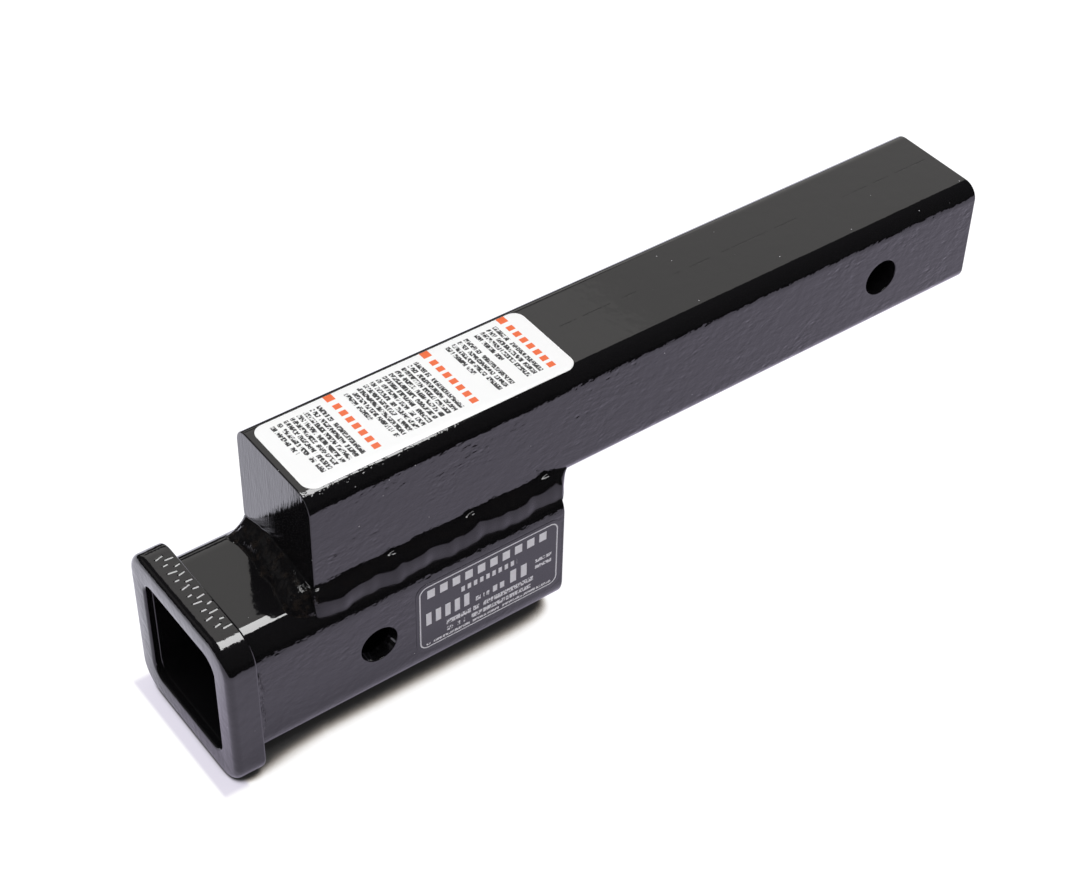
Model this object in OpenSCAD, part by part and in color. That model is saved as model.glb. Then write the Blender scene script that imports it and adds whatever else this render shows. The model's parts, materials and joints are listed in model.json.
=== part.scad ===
// Hitch receiver extender: a solid square shank welded on top of a short receiver tube.
// The origin is the centre of the shank's pin hole. +X runs along the shank to its free
// end, which goes into the vehicle's receiver. The socket below opens towards -X. +Z is up.
// Lengths are in millimetres and angles in degrees.

/* [Shank] */
// Width and height of the square bar
shank_w = 50.8; // [46:0.1:54]
// Length of the bar between its sawn ends
shank_len = 333; // [240:1:500]
// Radius of the bar's long edges
shank_edge_r = 7; // [3:0.1:10]
// Distance from the free end to the centre of the pin hole
pin_setback = 51.5; // [25:0.5:90]
// Diameter of the pin holes in the shank and in the tube
pin_hole_d = 16.5; // [10:0.1:20]

/* [Receiver tube] */
// Outside width and height of the square tube
tube_w = 63.5; // [61:0.1:72]
// Wall thickness of the tube
tube_wall = 6; // [4:0.1:7]
// Radius of the tube's outer long edges
tube_edge_r = 12.7; // [8:0.1:15]
// Length of the tube
tube_len = 153.8; // [135:0.1:260]
// Length over which the shank lies on the tube
lap_len = 112; // [95:1:115]
// Distance from the tube's front end to the centre of its pin hole
tube_pin_setback = 65.3; // [40:0.1:110]
// How far the tube's pin hole lies below the middle of its side
tube_pin_drop = 1.5; // [0:0.1:5]

/* [Collar] */
// Wall of the collar around the tube
collar_wall = 5; // [3:0.1:9]
// Depth of the collar along the tube
collar_depth = 13; // [8:0.1:25]
// Thickness of the lip that covers the tube's front end
lip_t = 3.2; // [2:0.1:6]
// Radius of the collar's outer corners
collar_corner_r = 12; // [8:0.1:16]
// Rounding of the collar's outer front edge
collar_front_r = 3; // [1:0.1:5]
// Rounding of the edge round the mouth
mouth_r = 1.2; // [0.4:0.1:1.8]
// How far the mouth stands back from the tube's inner wall
mouth_clear = 0.2; // [0:0.1:1]
// Gap between the collar's socket and the tube, on each side
collar_fit = 0.05; // [0.02:0.01:0.2]

/* [Raised marks on the collar] */
// Number of raised ribs across the top
rib_count = 11; // [3:1:13]
// Distance between neighbouring ribs
rib_pitch = 4.6; // [3.5:0.1:4.8]
// Length of a rib
rib_len = 5.6; // [3:0.1:7]
// Width of a rib
rib_w = 1.3; // [0.8:0.1:2]
// Height of a rib above the collar
rib_h = 0.6; // [0.2:0.1:1]
// Slant of the ribs
rib_slant = -22; // [-40:1:40]

/* [Side welds] */
// Height of the bead on the shank's side
side_leg_up = 5.9; // [4:0.1:9]
// How far out from the shank's side the bead reaches on the tube's corner
side_leg_out = 4.3; // [2:0.1:5]
// How far the bead's shoulder stands out below its upper toe
side_shoulder = 5.4; // [3:0.1:7]
// How far the bead's belly stands out past its lower toe
side_belly = 1.7; // [0.5:0.1:2.5]
// Length of the bead's tail past the tube's rear end
side_tail = 5.2; // [2:0.1:8]
// Distance between ripples
side_ripple_pitch = 6; // [3:0.1:10]
// Height of the ripples of the side beads
side_ripple_h = 0.18; // [0:0.01:0.6]

/* [End welds] */
// Leg of the front bead along the tube, at the middle of its length
front_leg_x = 7.9; // [5:0.1:12]
// How much further the front bead reaches along the tube at its two ends
front_spread = 1.9; // [0:0.1:3]
// Leg of the front bead up the shank's end face
front_leg_z = 8; // [5:0.1:12]
// How much lower the front bead lies on the end face towards its near end
front_dip = 2.8; // [0:0.1:4]
// Distance between ripples of the front bead
front_ripple_pitch = 2.8; // [2:0.1:6]
// How far the front bead reaches past the shank's sides
front_wrap = 0.9; // [0:0.1:2]
// Leg of the rear bead, on the tube's end and on the shank's underside
rear_leg = 5; // [3:0.1:7]
// Height of the ripples of the end beads and the collar's beads
end_ripple_h = 0.28; // [0:0.01:0.6]
// How far the edges of every bead wander
wander = 0.55; // [0:0.01:1.2]
// Gap between a bead and the steel that it seats on
weld_fit = 0.08; // [0.05:0.01:0.2]

/* [Collar welds] */
// Leg of the bead along the tube's side
collar_leg_x = 3.2; // [1.5:0.1:6]
// Leg of the bead up the collar's rear face
collar_leg_y = 2.8; // [1.5:0.1:4]
// Length of the bead
collar_bead_len = 34; // [15:0.5:38]

/* [Labels] */
// Length of the label on top of the shank
top_label_len = 122; // [60:0.5:160]
// Width of the label on top of the shank
top_label_w = 41.6; // [20:0.1:44]
// Distance from the shank's near end to the top label
top_label_inset = 2.8; // [1:0.1:20]
// How far the top label lies off the middle of the shank
top_label_shift = 0.1; // [-1:0.1:1]
// Length of the label on the side of the tube
side_label_len = 69.8; // [40:0.1:72]
// Distance from the ends of the flat of the tube's side to the side label
side_label_margin = 0.35; // [0.1:0.05:5]
// Distance from the tube's rear end to the side label
side_label_inset = 1.8; // [1:0.1:10]
// Corner radius of both labels
label_corner_r = 5; // [1:0.1:8]
// Thickness of both labels
label_t = 0.2; // [0.1:0.05:0.5]

/* [Hidden] */
$fn = 96;

paint = [0.09, 0.09, 0.10];
weld_paint = [0.13, 0.13, 0.14];
vinyl_white = [0.95, 0.95, 0.95];
vinyl_dark = [0.20, 0.20, 0.22];

// Places along X
shank_far_x = pin_setback;
shank_near_x = pin_setback - shank_len;
tube_rear_x = shank_near_x + lap_len;
tube_front_x = tube_rear_x - tube_len;
collar_front_x = tube_front_x - lip_t;
collar_rear_x = collar_front_x + collar_depth;
tube_pin_x = tube_front_x + tube_pin_setback;

// Heights
lap_z = -shank_w / 2;
tube_z = lap_z - tube_w / 2;
tube_pin_z = tube_z - tube_pin_drop;

// Rounded edges: distance of their centre lines from the middle
shank_core = shank_w / 2 - shank_edge_r;
tube_core = tube_w / 2 - tube_edge_r;
collar_half = tube_w / 2 + collar_wall;
mouth_half = tube_w / 2 - tube_wall + mouth_clear;
mouth_corner_r = tube_edge_r - tube_wall + mouth_clear;

// How far cutters reach past what they cut
over = 1;
// How far past the flat of the shank's underside the root of a side bead lies
root_in = 2.1;
root_y = shank_core + root_in;
// Gap between two beads that end against each other
bead_gap = 0.1;
// Faces of a bead: steps per ripple, points across its face, and points on each piece it seats on
steps_per_ripple = 4;
face_points = 6;
seat_points = 6;

// Shared shapes

module rounded_rect(w, h, r) {
    square([w - 2 * r, h], center = true);
    square([w, h - 2 * r], center = true);
    for (sx = [-1, 1], sy = [-1, 1])
        translate([sx * (w / 2 - r), sy * (h / 2 - r)]) circle(r);
}

// A bar with round ends
module stadium(length, w) {
    square([length - w, w], center = true);
    for (m = [-1, 1]) translate([m * (length - w) / 2, 0]) circle(d = w);
}

// Extrudes a profile of (Y, Z) along X, from x0 to x1
module along_x(x0, x1) {
    translate([x0, 0, 0]) rotate([90, 0, 90]) linear_extrude(x1 - x0) children();
}

// A square block whose long edges are turned: its child is the edge's half profile, measured
// outwards from the corner's centre line, and core is that line's distance from the middle
module turned_square(core, x0, x1) {
    for (sy = [-1, 1], sz = [-1, 1])
        translate([0, sy * core, sz * core]) rotate([0, 90, 0]) rotate_extrude() children();
    rotate([-90, 0, 0]) rotate([0, 0, -90])
        linear_extrude(2 * core, center = true) both_edges(core, x0, x1) children();
    rotate([0, 0, -90])
        linear_extrude(2 * core, center = true) both_edges(core, x0, x1) children();
}

module both_edges(core, x0, x1) {
    translate([-core, x0]) square([2 * core, x1 - x0]);
    for (m = [0, 1]) mirror([m, 0]) translate([core, 0]) children();
}

// Half profile of a block's edge with its front corner rounded
module round_front(reach, depth, r) {
    square([reach - r, depth]);
    translate([0, r]) square([reach, depth - r]);
    translate([reach - r, r]) circle(r);
}

// Half profile of a hole that flares out to its front edge
module flared_front(reach, depth, r) {
    translate([0, -over]) square([reach, depth + 2 * over]);
    translate([0, -over]) square([reach + r, over]);
    difference() {
        square([reach + r, r]);
        translate([reach + r, r]) circle(r);
    }
}

module pin_hole(x, z, w) {
    translate([x, 0, z]) rotate([90, 0, 0]) cylinder(h = w + 2 * over, d = pin_hole_d, center = true);
}

// Bead shapes

// A closed solid through a row of rings, each a loop of the same number of points
module skin(rings) {
    n = len(rings);
    m = len(rings[0]);
    sides = [for (i = [0:n - 2], j = [0:m - 1]) let (k = (j + 1) % m)
        each [[i * m + j, i * m + k, (i + 1) * m + k], [i * m + j, (i + 1) * m + k, (i + 1) * m + j]]];
    caps = [[for (j = [m - 1:-1:0]) j], [for (j = [0:m - 1]) (n - 1) * m + j]];
    polyhedron([for (r = rings) each r], concat(sides, caps), convexity = 6);
}

function curve(a, b, c, d, t) =
    pow(1 - t, 3) * a + 3 * t * pow(1 - t, 2) * b + 3 * t * t * (1 - t) * c + pow(t, 3) * d;

// A slow uneven wave between about -1 and 1, for the edges of a bead
function wave(s, seed) =
    0.55 * sin(360 * s / 19.3 + 131 * seed)
    + 0.3 * sin(360 * s / 8.7 + 57 * seed)
    + 0.15 * sin(360 * s / 5.1 + 211 * seed);

// Ripples with round backs and sharp valleys, bowed along the bead's middle
function ripple(s, t, pitch, h) =
    h * (abs(sin(180 * (s / pitch - 0.8 * t * (1 - t)))) - 0.5) * sin(180 * t);

// Eases from 0 to 1 along the first length e, as the rounded end of a bead
function ease(s, e) = s >= e ? 1 : sqrt(max(0, 1 - pow(1 - s / e, 2)));

// Points (Y, Z) on the near or far edge of the shank's underside, by the distance s along the
// surface from the end of its flat, and on the tube's top edge in the same way
function shank_edge(s) =
    let (a = min(90, max(0, s) / shank_edge_r * 180 / PI),
         up = max(0, s - shank_edge_r * PI / 2),
         r = shank_edge_r + weld_fit)
    [shank_core + r * sin(a), lap_z + shank_edge_r - r * cos(a) + up];

function tube_edge(s) =
    let (a = min(90, max(0, s) / tube_edge_r * 180 / PI), r = tube_edge_r + weld_fit)
    [tube_core + min(0, s) + r * sin(a), lap_z - tube_edge_r + r * cos(a)];

// Distances along those surfaces, for a place given by its Y, or by its height on the shank
function shank_s_at_y(y) = shank_edge_r * asin((y - shank_core) / shank_edge_r) * PI / 180;
function shank_s_at_height(h) =
    h < shank_edge_r ? shank_edge_r * acos(1 - h / shank_edge_r) * PI / 180
        : shank_edge_r * PI / 2 + h - shank_edge_r;
function tube_s_at_y(y) =
    y < tube_core ? y - tube_core : tube_edge_r * asin(min(0.97, (y - tube_core) / tube_edge_r)) * PI / 180;

// One ring of a side bead at distance s from its start. lift is how far the tail has risen
// from the tube's corner towards the root, and full is how far the bead's end has filled out
function side_ring(s, seed, full, lift) =
    let (root_shank = shank_s_at_y(root_y),
         root_tube = tube_s_at_y(root_y),
         toe_up = shank_s_at_height(side_leg_up + wander * wave(s, seed) - 2 * (1 - full)),
         toe_out = tube_s_at_y(shank_w / 2 + side_leg_out + wander * wave(s, seed + 1.7) - 2.4 * (1 - full)),
         low = root_tube + (toe_out - root_tube) * (1 - lift),
         seat_a = [for (i = [0:seat_points - 1])
             shank_edge(toe_up + (root_shank - toe_up) * i / (seat_points - 1))],
         seat_b = [for (i = [0:seat_points - 1])
             tube_edge(root_tube + (low - root_tube) * i / (seat_points - 1))],
         from = seat_b[seat_points - 1],
         to = seat_a[0],
         height = to[1] - from[1],
         grow = full * (1 - 0.5 * lift),
         face = [for (i = [1:face_points]) let (t = i / (face_points + 1))
             curve(from, [from[0] + side_belly * grow, from[1] + 0.3 * height],
                 [to[0] + side_shoulder * grow, to[1] - 0.08 * height], to, t)
             + [ripple(s, t, side_ripple_pitch, side_ripple_h) * full, 0]])
    [for (p = concat(seat_a, seat_b, face)) [shank_near_x + bead_gap + s, -p[0], p[1]]];

module side_bead(seed) {
    run = lap_len - bead_gap;
    full_len = run + side_tail;
    count = ceil(full_len / side_ripple_pitch) * steps_per_ripple;
    skin([for (i = [0:count]) let (s = full_len * i / count, past = max(0, s - run) / side_tail)
        side_ring(s, seed, max(0.25, ease(s, 5) * sqrt(1 - 0.85 * past)), 0.75 * past)]);
}

// Height of the tube's top under a point at distance y from the middle
function tube_top_z(y) =
    lap_z + weld_fit - tube_edge_r + sqrt(pow(tube_edge_r, 2) - pow(max(0, abs(y) - tube_core), 2));

// One ring of the front bead at distance y from the middle. It sags between its toes, spreads
// towards both ends and lies lower near the near side
function front_ring(y, full) =
    let (low_z = tube_top_z(y),
         spread = front_spread * pow(2 * y / shank_w, 2),
         dip = front_dip * exp(-pow(y / shank_w + 0.36, 2) / 0.02),
         foot = (front_leg_x + spread + wander * wave(y, 3.1)) * full,
         head = (front_leg_z - dip + wander * wave(y, 4.3)) * full,
         x = shank_near_x - weld_fit,
         from = [x - foot, low_z],
         to = [x, lap_z + head],
         face = [for (i = [1:face_points])
             let (t = i / (face_points + 1), h = full * ripple(y, t, front_ripple_pitch, end_ripple_h))
             curve(from, from + [0.42 * foot, 0.12 * head], to - [0.16 * foot, 0.4 * head], to, t) + [-h, h]])
    [for (p = concat([[x, low_z], from], face, [to])) [p[0], y, p[1]]];

// One ring of the rear bead, under the shank and against the tube's end
function rear_ring(y, full) =
    let (z = lap_z - weld_fit,
         x = tube_rear_x + weld_fit,
         leg = rear_leg * full,
         from = [x + leg + 0.6 * wander * wave(y, 5.7) * full, z],
         to = [x, z - leg - 0.6 * wander * wave(y, 6.1) * full],
         face = [for (i = [1:face_points])
             let (t = i / (face_points + 1), h = full * ripple(y, t, front_ripple_pitch, end_ripple_h))
             curve(from, from + [-0.4 * leg, -0.2 * leg], to + [0.2 * leg, 0.4 * leg], to, t) + [h, -h]])
    [for (p = concat([[x, z], from], face, [to])) [p[0], y, p[1]]];

// One ring of a bead between the collar's rear face and the tube's side
function collar_ring(z, seed, full) =
    let (x = collar_rear_x + weld_fit,
         y = tube_w / 2 + weld_fit,
         along = (collar_leg_x + wander * wave(z, seed)) * full,
         up = collar_leg_y * full,
         from = [x, y + up],
         to = [x + along, y],
         face = [for (i = [1:face_points - 2])
             let (t = i / (face_points - 1), h = full * ripple(z, t, front_ripple_pitch, end_ripple_h))
             curve(from, from + [0.5 * along, 0.1 * up], to + [0, 0.6 * up], to, t) + [h, h]])
    [for (p = concat([[x, y], from], face, [to])) [p[0], -p[1], tube_z + z]];

// Places of the rings of a bead that runs from -half to half
function stations(half, pitch) =
    let (count = ceil(2 * half / pitch) * steps_per_ripple)
    [for (i = [0:count]) -half + 2 * half * i / count];

// Pieces

module shank() {
    color(paint) difference() {
        along_x(shank_near_x, shank_far_x) rounded_rect(shank_w, shank_w, shank_edge_r);
        pin_hole(0, 0, shank_w);
    }
}

module receiver_tube() {
    bore_w = tube_w - 2 * tube_wall;
    color(paint) difference() {
        translate([0, 0, tube_z]) along_x(tube_front_x, tube_rear_x)
            rounded_rect(tube_w, tube_w, tube_edge_r);
        translate([0, 0, tube_z]) along_x(tube_front_x - over, tube_rear_x + over)
            rounded_rect(bore_w, bore_w, tube_edge_r - tube_wall);
        pin_hole(tube_pin_x, tube_pin_z, tube_w);
    }
}

module receiver_collar() {
    socket_w = tube_w + 2 * collar_fit;
    color(paint) translate([collar_front_x, 0, tube_z]) difference() {
        union() {
            turned_square(collar_half - collar_corner_r, 0, collar_depth)
                round_front(collar_corner_r, collar_depth, collar_front_r);
            collar_ribs();
        }
        turned_square(mouth_half - mouth_corner_r, -over, lip_t + over)
            flared_front(mouth_corner_r, lip_t, mouth_r);
        along_x(lip_t, collar_depth + over) rounded_rect(socket_w, socket_w, tube_edge_r + collar_fit);
    }
}

// A row of slanted raised ribs across the collar's top
module collar_ribs() {
    row = (rib_count - 1) * rib_pitch;
    middle_x = (collar_front_r + collar_depth) / 2 + 0.5;
    for (i = [0:rib_count - 1])
        translate([middle_x, i * rib_pitch - row / 2, collar_half - over])
            rotate([0, 0, rib_slant]) linear_extrude(over + rib_h) stadium(rib_len, rib_w);
}

module front_weld() {
    half = shank_w / 2 + front_wrap;
    color(weld_paint) skin([for (y = stations(half, front_ripple_pitch))
        front_ring(y, max(0.3, ease(half - abs(y), 2.5)))]);
}

module near_side_weld() {
    color(weld_paint) side_bead(1);
}

module far_side_weld() {
    color(weld_paint) mirror([0, 1, 0]) side_bead(2.6);
}

module rear_weld() {
    half = root_y - bead_gap;
    color(weld_paint) skin([for (y = stations(half, front_ripple_pitch))
        rear_ring(-y, max(0.3, ease(half - abs(y), 1)))]);
}

module collar_weld_near() {
    half = collar_bead_len / 2;
    color(weld_paint) skin([for (z = stations(half, front_ripple_pitch))
        collar_ring(z, 7.9, max(0.3, ease(half - abs(z), 2)))]);
}

module collar_weld_far() {
    half = collar_bead_len / 2;
    color(weld_paint) mirror([0, 1, 0]) skin([for (z = stations(half, front_ripple_pitch))
        collar_ring(z, 9.4, max(0.3, ease(half - abs(z), 2)))]);
}

// The top label is wider than the flat of the shank, so its sides bend down over the long edges
module top_label() {
    sheet_w = shank_w + 2 * label_t;
    start_x = shank_near_x + top_label_inset;
    color(vinyl_white) intersection() {
        difference() {
            along_x(start_x, start_x + top_label_len)
                rounded_rect(sheet_w, sheet_w, shank_edge_r + label_t);
            along_x(start_x - over, start_x + top_label_len + over)
                rounded_rect(shank_w, shank_w, shank_edge_r);
        }
        translate([start_x + top_label_len / 2, top_label_shift, 0])
            linear_extrude(shank_w) rounded_rect(top_label_len, top_label_w, label_corner_r);
    }
}

module side_label() {
    side_label_h = tube_w - 2 * tube_edge_r - 2 * side_label_margin;
    color(vinyl_dark)
        translate([tube_rear_x - side_label_inset - side_label_len / 2, -tube_w / 2, tube_z])
            rotate([90, 0, 0]) linear_extrude(label_t)
                rounded_rect(side_label_len, side_label_h, label_corner_r);
}

shank();
receiver_tube();
receiver_collar();
front_weld();
near_side_weld();
far_side_weld();
rear_weld();
collar_weld_near();
collar_weld_far();
top_label();
side_label();
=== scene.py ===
"""Finish of a hitch receiver extender: a solid square shank welded on top of a short square
receiver tube with a collar round its mouth, in gloss black paint, with two labels.

Lengths of the shapes are in millimetres, in the part's own frame: the origin is the centre of
the shank's pin hole, +X runs to the shank's free end and +Z is up. Each piece is worked out as
a grid of points and replaces the plain solid that stands in its place.
"""

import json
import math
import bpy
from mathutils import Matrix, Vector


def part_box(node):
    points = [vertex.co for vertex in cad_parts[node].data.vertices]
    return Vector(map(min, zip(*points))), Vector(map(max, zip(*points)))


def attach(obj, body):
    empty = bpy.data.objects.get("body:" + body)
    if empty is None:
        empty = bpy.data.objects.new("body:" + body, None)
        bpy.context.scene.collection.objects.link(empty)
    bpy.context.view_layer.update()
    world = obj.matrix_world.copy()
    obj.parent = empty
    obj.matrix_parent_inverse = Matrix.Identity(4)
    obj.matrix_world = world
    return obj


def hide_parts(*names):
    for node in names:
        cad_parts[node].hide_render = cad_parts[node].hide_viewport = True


bl_info = {
    "name": "Hitch Receiver Extender",
    "version": (1, 0, 0),
    "blender": (4, 5, 0),
    "location": "3D View > Sidebar > Extender",
    "description": "Painted steel, weld beads, labels and stage for a hitch receiver extender",
    "category": "Add Mesh",
}

import bmesh
import bpy
import numpy as np
from bpy.props import FloatProperty, FloatVectorProperty, IntProperty, PointerProperty
from mathutils import Matrix, Vector

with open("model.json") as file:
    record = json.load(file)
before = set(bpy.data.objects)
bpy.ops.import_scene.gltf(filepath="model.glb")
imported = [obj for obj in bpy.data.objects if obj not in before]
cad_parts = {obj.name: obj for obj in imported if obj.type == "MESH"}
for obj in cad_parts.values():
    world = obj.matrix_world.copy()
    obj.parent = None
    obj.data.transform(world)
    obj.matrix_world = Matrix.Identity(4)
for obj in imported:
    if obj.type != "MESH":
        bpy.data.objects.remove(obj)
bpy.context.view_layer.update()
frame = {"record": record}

MM = 0.001
PICTURE_WIDTH = 1080


def box_mm(node):
    """Lowest and highest corner of one of the frame's nodes, in millimetres."""
    low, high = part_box(node)
    return np.array(low) / MM, np.array(high) / MM


SHANK_LOW, SHANK_HIGH = box_mm("shank")
TUBE_LOW, TUBE_HIGH = box_mm("receiver_tube")
COLLAR_LOW, COLLAR_HIGH = box_mm("receiver_collar")
TOP_LABEL_LOW, TOP_LABEL_HIGH = box_mm("top_label")
SIDE_LABEL_LOW, SIDE_LABEL_HIGH = box_mm("side_label")

SHANK_HALF = SHANK_HIGH[1]
TUBE_HALF = TUBE_HIGH[1]
TUBE_Z = (TUBE_LOW[2] + TUBE_HIGH[2]) / 2
LAP_Z = SHANK_LOW[2]
HOLES = {m["name"]: m for m in frame["record"]["mounts"]}
HOLE_R = HOLES["shank_pin_hole"]["dims"]["r_mm"]
TUBE_HOLE = np.array(HOLES["receiver_pin_hole"]["pos_m"]) / MM
FLOOR_Z = COLLAR_LOW[2] - 0.1


# Sizes and colours that a user would change


def length(name, description, default):
    """A length in millimetres."""
    return FloatProperty(name=name, description=description, default=default, min=0.0)


def level(name, description, default):
    """A strength of light, where 1 is white."""
    return FloatProperty(name=name, description=description, default=default, min=0.0)


def metres(name, description, default):
    """A length in metres."""
    return FloatProperty(name=name, description=description, default=default, min=0.0, unit="LENGTH")


def turned(name, description, degrees):
    """An angle, given in degrees and kept in radians."""
    return FloatProperty(
        name=name, description=description, default=math.radians(degrees), subtype="ANGLE"
    )


def colour(name, description, default):
    """A colour as its linear red, green and blue."""
    return FloatVectorProperty(
        name=name, description=description, default=default, subtype="COLOR", size=3, min=0.0, max=1.0
    )


class SteelSizes(bpy.types.PropertyGroup):
    """Sizes of the shank and the tube that their boxes don't give"""

    shank_edge_r: length("Shank edge", "Radius of the shank's long edges, mm", 7.0)
    tube_edge_r: length("Tube edge", "Radius of the tube's outer long edges, mm", 12.7)
    tube_wall: length("Tube wall", "Wall thickness of the tube, mm", 6.0)
    sawn_r: length("Sawn edge", "Rounding that the paint gives a sawn edge, mm", 0.5)
    drilled_r: length("Drilled edge", "Rounding that the paint gives a drilled edge, mm", 0.4)


class CollarSizes(bpy.types.PropertyGroup):
    """Sizes of the collar and the ribs on its top"""

    corner_r: length("Corner", "Radius of the outer corners, mm", 12.0)
    front_r: length("Front edge", "Rounding of the outer front edge, mm", 3.0)
    rear_r: length("Rear edge", "Rounding of the outer rear edge, mm", 1.0)
    mouth_r: length("Mouth edge", "Rounding of the edge round the mouth, mm", 1.2)
    mouth_clear: length("Mouth clearance", "How far the mouth stands back from the tube's bore, mm", 0.2)
    lip: length("Lip", "Thickness of the lip over the tube's end, mm", 3.2)
    rib_count: IntProperty(name="Ribs", description="Number of raised ribs on top", default=20, min=0)
    rib_pitch: length("Rib pitch", "Distance between neighbouring ribs, mm", 2.35)
    rib_len: length("Rib length", "Length of a rib, mm", 4.2)
    rib_w: length("Rib width", "Width of a rib at half its height, mm", 0.85)
    rib_h: length("Rib height", "Height of a rib, mm", 0.2)
    rib_slant: turned("Rib slant", "Mean slant of the ribs", 3.0)
    rib_stagger: length("Rib stagger", "Distance of each of the two rows from the middle, mm", 1.6)
    rib_shift: length("Rib shift", "How far the rows lie towards the far side, mm", 0.9)


class BeadSizes(bpy.types.PropertyGroup):
    """Sizes of the weld beads"""

    leg_up: length("Leg up", "Height of a side bead on the shank's side, mm", 6.3)
    leg_out: length("Leg out", "Reach of a side bead past the shank's side, mm", 4.3)
    shoulder: length("Shoulder", "How far a side bead's shoulder stands out, mm", 4.4)
    belly: length("Belly", "How far a side bead's belly stands out, mm", 0.2)
    tail: length("Tail", "Length of a side bead past the tube's end, mm", 5.2)
    foot: length("Foot", "Mean leg of the front bead along the tube, mm", 9.3)
    head: length("Head", "Mean leg of the front bead up the shank's end, mm", 7.6)
    rear_leg: length("Rear leg", "Legs of the rear bead, mm", 5.0)
    collar_leg: length("Collar leg", "Leg of a collar bead along the tube, mm", 3.2)
    collar_up: length("Collar up", "Leg of a collar bead up the collar's rear face, mm", 2.8)
    collar_len: length("Collar bead", "Length of a collar bead, mm", 34.0)
    wander: length("Wander", "How far the edges of the beads wander, mm", 0.5)
    swell: length("Swell", "Height of the long swells of a side bead, mm", 0.28)
    start_pitch: length("Starts", "Distance between places where a side bead was started anew, mm", 36.0)
    start_len: length("Start length", "Half length of the shelf at each such place, mm", 2.9)
    ripple_h: length("Ripples", "Height of the ripples, mm", 0.012)
    sink: length("Sink", "How far the hidden seats of a bead lie in the steel, mm", 0.15)


class LabelSizes(bpy.types.PropertyGroup):
    """Corners and colours of the labels"""

    corner_r: length("Corner", "Corner radius of the labels, mm", 5.0)
    white: colour("White vinyl", "Ground of the top label", (0.9, 0.9, 0.9))
    orange: colour("Orange print", "Heading bars of the top label", (0.86, 0.13, 0.015))
    ink: colour("Dark print", "Lines of the top label", (0.012, 0.012, 0.014))
    dark: colour("Dark vinyl", "Ground of the side label", (0.012, 0.012, 0.014))
    pale: colour("Pale print", "Border, blocks and lines of the side label", (0.72, 0.71, 0.75))


class PaintLook(bpy.types.PropertyGroup):
    """Colours of the paint and the relief that it follows"""

    black: colour("Black", "Colour of the paint", (0.0060, 0.0057, 0.0065))
    # Painted sheen: brownish blotches in the front bead's colour that stand in for its soft reflections.
    sheen_brown: colour("Scale", "Brown that shows through thin paint on a bead", (0.030, 0.022, 0.017))
    dust: colour("Dust", "Colour of the dust specks", (0.45, 0.44, 0.46))
    gloss: FloatProperty(
        name="Roughness", description="Roughness of the paint", default=0.06, min=0.0, max=1.0
    )
    peel_h: length("Peel", "Height of the paint's orange peel, mm", 0.08)
    grain_h: length("Grain", "Height of the grain of the rolled steel, mm", 0.2)
    pit_h: length("Pits", "Depth of the pits of the rolled steel, mm", 0.12)
    saw_h: length("Saw marks", "Height of the saw marks on the sawn ends, mm", 0.04)
    chip_h: length("Chips", "Height of the ragged paint on the shank's upper near edge, mm", 0.14)
    mill_h: length("Mill line", "Depth of the mill line along the shank's top, mm", 0.06)


class StageLook(bpy.types.PropertyGroup):
    """Floor, lights and camera"""

    floor: colour("Floor", "Colour of the floor", (0.88, 0.87, 0.86))
    front_tint: colour("Front tint", "Tint of the floor in front in reflections", (0.84, 0.77, 1.0))
    behind_tint: colour("Behind tint", "Tint of the floor behind in reflections", (0.88, 0.87, 1.0))
    shadow_tint: colour("Shadow tint", "Tint of the contact shadow", (0.75, 0.62, 0.5))
    shade_tint: colour("Shade tint", "Tint of the pale shade in front of the collar", (0.68, 0.65, 0.75))
    shadow_reach: metres("Shadow reach", "Reach of the contact shadow", 0.03)
    seen_glow: level("Seen glow", "Light that the floor adds for the camera", 0.97)
    front_glow: level("Front glow", "Light that the floor in front adds in reflections", 1.09)
    behind_glow: level("Behind glow", "Light that the floor behind adds in reflections", 1.35)
    sky: level("Sky", "Diffuse light from all round", 0.30)
    room: level("Room", "Light of the dark room in reflections", 0.03)
    overhead: level("Overhead", "Radiance of the overhead lamp, for diffuse light", 2.0)
    key: level("Key", "Radiance of the key lamp, in reflections", 14.0)
    back: level("Back", "Radiance of the lamps behind, in reflections", 1.03)
    target: FloatVectorProperty(
        name="Target", description="Point that the camera looks at, in metres",
        default=(-0.1659, -0.0095, -0.02), subtype="XYZ",
    )
    distance: metres("Distance", "From the camera to its target", 0.8927)
    azimuth: turned("Azimuth", "Direction of the camera round the part", -37.46)
    elevation: turned("Elevation", "Height of the camera over the floor", 42.63)
    roll: turned("Roll", "Turn of the camera about its axis", 1.56)
    focal_px: FloatProperty(
        name="Focal length", description="In pixels of the 1080 pixel wide picture", default=2245.36
    )


class ExtenderSettings(bpy.types.PropertyGroup):
    """All settings of the extender"""

    steel: PointerProperty(type=SteelSizes)
    collar: PointerProperty(type=CollarSizes)
    bead: PointerProperty(type=BeadSizes)
    label: PointerProperty(type=LabelSizes)
    paint: PointerProperty(type=PaintLook)
    stage: PointerProperty(type=StageLook)


# Surfaces


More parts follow.
